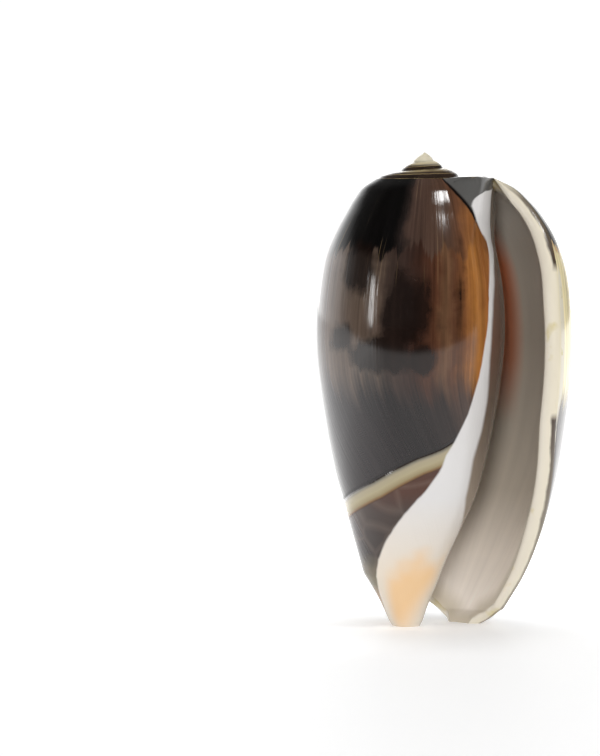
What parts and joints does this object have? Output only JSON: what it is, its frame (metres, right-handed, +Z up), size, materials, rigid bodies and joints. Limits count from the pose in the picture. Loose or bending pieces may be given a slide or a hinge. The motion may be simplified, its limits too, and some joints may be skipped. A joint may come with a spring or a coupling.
{
  "type": "olive shell",
  "caption": "Polished olive-type sea snail shell: long body whorl, low pointed spire, slit aperture with a thick outer lip and a notch at the foot.",
  "frame": {"origin": "middle of the outline seen from above, at the ground under the two feet", "axes": "+Z up along the coiling axis to the tip of the spire, -Y towards the side with the aperture, +X towards the outer lip"},
  "size_m": [0.0271, 0.0233, 0.05],
  "materials": {
    "shell_surface": "naturally polished calcium carbonate: brown and charcoal outside with a cream band near the foot, white callus, ivory lip, taupe inside"
  },
  "bodies": {
    "root": {"shell": "shell_surface"}
  },
  "joints": []
}
